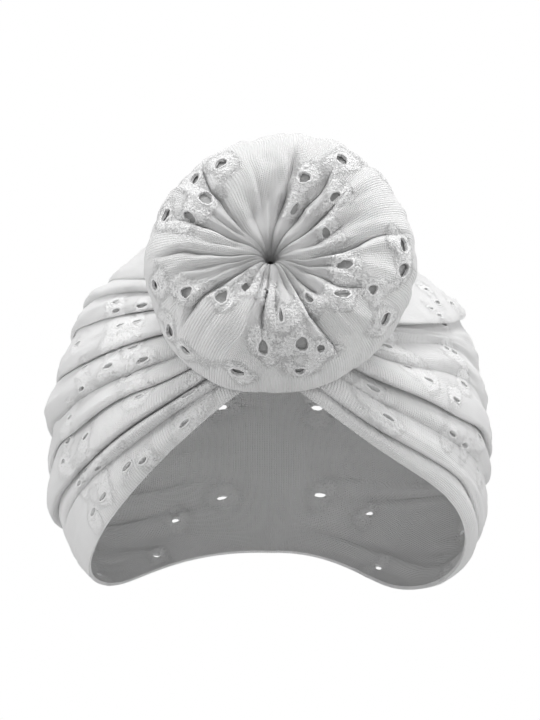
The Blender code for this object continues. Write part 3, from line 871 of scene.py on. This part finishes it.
def rib_knit_group():
    """Fine knitted ribs from cloth lengths: a height with ribs one way and small stitches the other way."""
    group, given, result = new_group(
        "Rib knit",
        [("Cloth lengths", "NodeSocketVector"), ("Rib pitch", "NodeSocketFloat"),
         ("Stitch pitch", "NodeSocketFloat"), ("Wander", "NodeSocketFloat")],
        [("Height", "NodeSocketFloat")])
    link = group.links.new
    split = group.nodes.new("ShaderNodeSeparateXYZ")
    link(given.outputs["Cloth lengths"], split.inputs[0])
    noise = noise_node(group, given.outputs["Cloth lengths"], scale=260.0, detail=2.0, roughness=0.5)
    wander = math_node(group, "MULTIPLY", noise, given.outputs["Wander"])
    ribs = math_node(group, "DIVIDE", split.outputs[0], given.outputs["Rib pitch"])
    rib_wave = math_node(group, "SINE", math_node(group, "MULTIPLY_ADD", ribs, 2 * pi, wander))
    stitches = math_node(group, "DIVIDE", split.outputs[1], given.outputs["Stitch pitch"])
    stitch_wave = math_node(group, "SINE", math_node(group, "MULTIPLY_ADD", stitches, 2 * pi, wander))
    small = math_node(group, "MULTIPLY", stitch_wave, STITCH_SHARE)
    link(math_node(group, "ADD", rib_wave, small), result.inputs["Height"])
    return group


def lace_group():
    """Raised embroidery threads: a lumpy height and a mask of where thread lies over the jersey."""
    group, given, result = new_group(
        "Lace threads",
        [("Place", "NodeSocketVector"), ("Lace", "NodeSocketFloat"), ("Thread size", "NodeSocketFloat")],
        [("Height", "NodeSocketFloat"), ("Thread", "NodeSocketFloat")])
    link = group.links.new
    scale = math_node(group, "DIVIDE", 1.0, given.outputs["Thread size"])
    cells = group.nodes.new("ShaderNodeTexVoronoi")
    cells.feature = "SMOOTH_F1"
    cells.inputs["Smoothness"].default_value = 0.35
    link(given.outputs["Place"], cells.inputs["Vector"])
    link(scale, cells.inputs["Scale"])
    noise = noise_node(group, given.outputs["Place"], scale, detail=4.0, roughness=0.7)
    lumps = math_node(group, "SUBTRACT", 1.0, cells.outputs["Distance"])
    ragged = math_node(group, "MULTIPLY_ADD", noise, THREAD_SPREAD, -THREAD_SPREAD / 2)
    spread = math_node(group, "ADD", given.outputs["Lace"], ragged)
    thread = group.nodes.new("ShaderNodeMapRange")
    thread.interpolation_type = "SMOOTHSTEP"
    thread.inputs["From Min"].default_value = 0.30
    thread.inputs["From Max"].default_value = 0.80
    link(spread, thread.inputs["Value"])
    edge = math_node(group, "MULTIPLY", thread.outputs["Result"], given.outputs["Lace"])
    link(edge, result.inputs["Thread"])
    link(math_node(group, "MULTIPLY", edge, math_node(group, "ADD", lumps, noise)), result.inputs["Height"])
    return group


def fuzz_group():
    """Short fibres that stand off the yarn: a fine height and a slight change of tone."""
    group, given, result = new_group(
        "Fibre fuzz",
        [("Place", "NodeSocketVector"), ("Fineness", "NodeSocketFloat")],
        [("Height", "NodeSocketFloat"), ("Tone", "NodeSocketFloat")])
    place = given.outputs["Place"]
    fine = noise_node(group, place, given.outputs["Fineness"], detail=4.0, roughness=0.7)
    broad = noise_node(group, place, scale=45.0, detail=2.0, roughness=0.5)
    group.links.new(fine, result.inputs["Height"])
    group.links.new(broad, result.inputs["Tone"])
    return group


GROUPS = {"ribs": rib_knit_group(), "lace": lace_group(), "fuzz": fuzz_group()}


def place_group(tree, key, **values):
    node = tree.nodes.new("ShaderNodeGroup")
    node.node_tree = GROUPS[key]
    for label, value in values.items():
        feed(tree, value, node.inputs[label.replace("_", " ")])
    return node


def mix_colour(tree, factor, first, second):
    node = tree.nodes.new("ShaderNodeMix")
    node.data_type = "RGBA"
    for value, socket in ((factor, "Factor"), (first, 6), (second, 7)):
        feed(tree, value, node.inputs[socket])
    return node.outputs[2]


def new_material(name, roughness, sheen):
    material = bpy.data.materials.new(name)
    material.use_nodes = True
    tree = material.node_tree
    shader = tree.nodes["Principled BSDF"]
    shader.inputs["Roughness"].default_value = roughness
    shader.inputs["Specular IOR Level"].default_value = 0.25
    shader.inputs["Sheen Weight"].default_value = sheen
    shader.inputs["Sheen Roughness"].default_value = 0.6
    return material, tree, shader


def bump(tree, shader, height, distance, strength):
    node = tree.nodes.new("ShaderNodeBump")
    node.inputs["Distance"].default_value = distance
    node.inputs["Strength"].default_value = strength
    tree.links.new(height, node.inputs["Height"])
    tree.links.new(node.outputs["Normal"], shader.inputs["Normal"])


def jersey_material(name, plain, shaded, thread_tone, thread_rise):
    """White ribbed jersey with lace patches where the cloth's lace attribute says."""
    material, tree, shader = new_material(name, roughness=0.92, sheen=0.15)
    lengths = tree.nodes.new("ShaderNodeUVMap")
    lengths.uv_map = "ClothLengths"
    place = tree.nodes.new("ShaderNodeTexCoord").outputs["Object"]
    lace = tree.nodes.new("ShaderNodeAttribute")
    lace.attribute_name = "lace"
    ribs = place_group(tree, "ribs", Cloth_lengths=lengths.outputs["UV"], Rib_pitch=RIB_PITCH,
                       Stitch_pitch=STITCH_PITCH, Wander=0.9)
    threads = place_group(tree, "lace", Place=place, Lace=lace.outputs["Fac"], Thread_size=THREAD_SIZE)
    fuzz = place_group(tree, "fuzz", Place=place, Fineness=2600.0)
    bare = math_node(tree, "SUBTRACT", 1.0, threads.outputs["Thread"])
    rib_height = math_node(tree, "MULTIPLY", ribs.outputs["Height"], RIB_SHARE)
    rib_height = math_node(tree, "MULTIPLY", rib_height, bare)
    thread_height = math_node(tree, "MULTIPLY", threads.outputs["Height"], thread_rise)
    fuzz_height = math_node(tree, "MULTIPLY", fuzz.outputs["Height"], FUZZ_SHARE)
    height = math_node(tree, "ADD", math_node(tree, "ADD", rib_height, thread_height), fuzz_height)
    bump(tree, shader, height, distance=0.0005, strength=0.8)
    tone = mix_colour(tree, fuzz.outputs["Tone"], grey(shaded), grey(plain))
    colour = mix_colour(tree, threads.outputs["Thread"], tone, grey(thread_tone))
    tree.links.new(colour, shader.inputs["Base Color"])
    return material


def thread_material():
    """The stitched rims of the eyelets: brighter, soft cotton thread."""
    material, tree, shader = new_material("embroidery_thread", roughness=0.95, sheen=0.2)
    place = tree.nodes.new("ShaderNodeTexCoord").outputs["Object"]
    fuzz = place_group(tree, "fuzz", Place=place, Fineness=2200.0)
    bump(tree, shader, fuzz.outputs["Height"], distance=0.0005, strength=0.9)
    colour = mix_colour(tree, fuzz.outputs["Tone"], *map(grey, RIM_TONES))
    tree.links.new(colour, shader.inputs["Base Color"])
    return material


def wadding_material():
    material, tree, shader = new_material("grey_wadding", roughness=1.0, sheen=0.0)
    place = tree.nodes.new("ShaderNodeTexCoord").outputs["Object"]
    fuzz = place_group(tree, "fuzz", Place=place, Fineness=1400.0)
    bump(tree, shader, fuzz.outputs["Height"], distance=0.0008, strength=0.8)
    colour = mix_colour(tree, fuzz.outputs["Tone"], *map(grey, WADDING_TONES))
    tree.links.new(colour, shader.inputs["Base Color"])
    return material


def dress(piece, material, slot, *nodes):
    """Gives a piece its material and body, and hides the solids that it stands for. Its slot is not used."""
    piece.data.materials.clear()
    piece.data.materials.append(material)
    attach(piece, "root")
    if nodes:
        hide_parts(*nodes)


def seen_white(tree, glow, plain):
    """Mixes a white glow for the camera's own rays with a plain shader for all others."""
    path = tree.nodes.new("ShaderNodeLightPath")
    blend = tree.nodes.new("ShaderNodeMixShader")
    tree.links.new(path.outputs["Is Camera Ray"], blend.inputs["Fac"])
    tree.links.new(plain, blend.inputs[1])
    tree.links.new(glow, blend.inputs[2])
    return blend.outputs["Shader"]


def make_stage():
    """A pale floor that curves up into a backdrop."""
    bpy.ops.object.select_all(action="DESELECT")
    bpy.ops.mesh.primitive_grid_add(x_subdivisions=2, y_subdivisions=48, size=1.0)
    sweep = bpy.context.object
    sweep.name = sweep.data.name = "pale_floor"
    for vertex in sweep.data.vertices:
        run = (vertex.co.y + 0.5) * FLOOR_LENGTH - FLOOR_AHEAD
        angle = min(max((run - WALL_AT) / WALL_CURVE, 0.0), pi / 2)
        rise = max(run - WALL_AT - WALL_CURVE * pi / 2, 0.0)
        depth = min(run, WALL_AT) + WALL_CURVE * sin(angle)
        vertex.co = (vertex.co.x * FLOOR_WIDTH, depth, FLOOR_LEVEL + WALL_CURVE * (1 - cos(angle)) + rise)
    select_only(sweep)
    bpy.ops.object.shade_smooth()
    material, tree, shader = new_material("pale_floor", roughness=1.0, sheen=0.0)
    shader.inputs["Base Color"].default_value = grey(FLOOR_TONE)
    shader.inputs["Specular IOR Level"].default_value = 0.0
    glow = tree.nodes.new("ShaderNodeEmission")
    surface = seen_white(tree, glow.outputs["Emission"], shader.outputs["BSDF"])
    tree.links.new(surface, tree.nodes["Material Output"].inputs["Surface"])
    sweep.data.materials.append(material)


def add_light(row):
    light = bpy.data.lights.new(row.name, "AREA")
    light.shape = "DISK"
    light.size = row.size
    light.energy = row.power
    lamp = bpy.data.objects.new(row.name, light)
    lamp.location = row.place
    lamp.rotation_euler = (Vector(row.target) - Vector(row.place)).to_track_quat("-Z", "Y").to_euler()
    bpy.context.collection.objects.link(lamp)


def make_room():
    world = bpy.data.worlds.new("soft_room")
    world.use_nodes = True
    tree = world.node_tree
    room = tree.nodes["Background"]
    room.inputs["Color"].default_value = grey(1.0)
    room.inputs["Strength"].default_value = ROOM_LIGHT
    glow = tree.nodes.new("ShaderNodeBackground")
    glow.inputs["Color"].default_value = grey(1.0)
    surface = seen_white(tree, glow.outputs["Background"], room.outputs["Background"])
    tree.links.new(surface, tree.nodes["World Output"].inputs["Surface"])
    bpy.context.scene.world = world
    for row in LIGHTS:
        add_light(row)
    bpy.context.scene.view_settings.view_transform = "Standard"


def make_camera():
    data = bpy.data.cameras.new("camera")
    data.sensor_fit = "VERTICAL"
    data.sensor_height = SENSOR
    data.lens = SENSOR * CAMERA_DISTANCE / (PICTURE_HEIGHT * METRES_PER_PIXEL)
    camera = bpy.data.objects.new("camera", data)
    elevation = radians(CAMERA_ELEVATION)
    camera.location = CAMERA_TARGET + Vector((0, -cos(elevation), sin(elevation))) * CAMERA_DISTANCE
    camera.rotation_euler = (CAMERA_TARGET - camera.location).to_track_quat("-Z", "Y").to_euler()
    bpy.context.collection.objects.link(camera)
    bpy.context.scene.camera = camera


def make_turban():
    cap_jersey = jersey_material("cap_jersey", *CAP_TONES, 1.0)
    knot_jersey = jersey_material("knot_jersey", *KNOT_TONES, 2.0)
    thread = thread_material()
    halves = []
    surfaces = []
    for half in HALVES:
        piece, eyelets = cap_half(half)
        dress(piece, cap_jersey, "cap_jersey", "cap")
        halves.append(piece)
        surfaces.append((lambda along, turn, half=half: cap_surface(half, along, turn), eyelets))
    cap_rims = embroidered_rims("cap_eyelet_rims", surfaces, CAP_RIM_SEED)
    dress(cap_rims, thread, "cap_jersey", "cap")
    seat = make_seat(halves)
    cover, eyelets = knot_cover(seat)
    dress(cover, knot_jersey, "knot_jersey", "knot_cover")
    knot_rims = embroidered_rims("knot_eyelet_rims", [(knot_surface, eyelets)], KNOT_RIM_SEED, seat)
    dress(knot_rims, thread, "knot_jersey", "knot_cover")
    wadding = knot_filling(seat)
    dress(wadding, wadding_material(), "wadding", "knot_filling")


make_turban()
make_stage()
make_room()
make_camera()
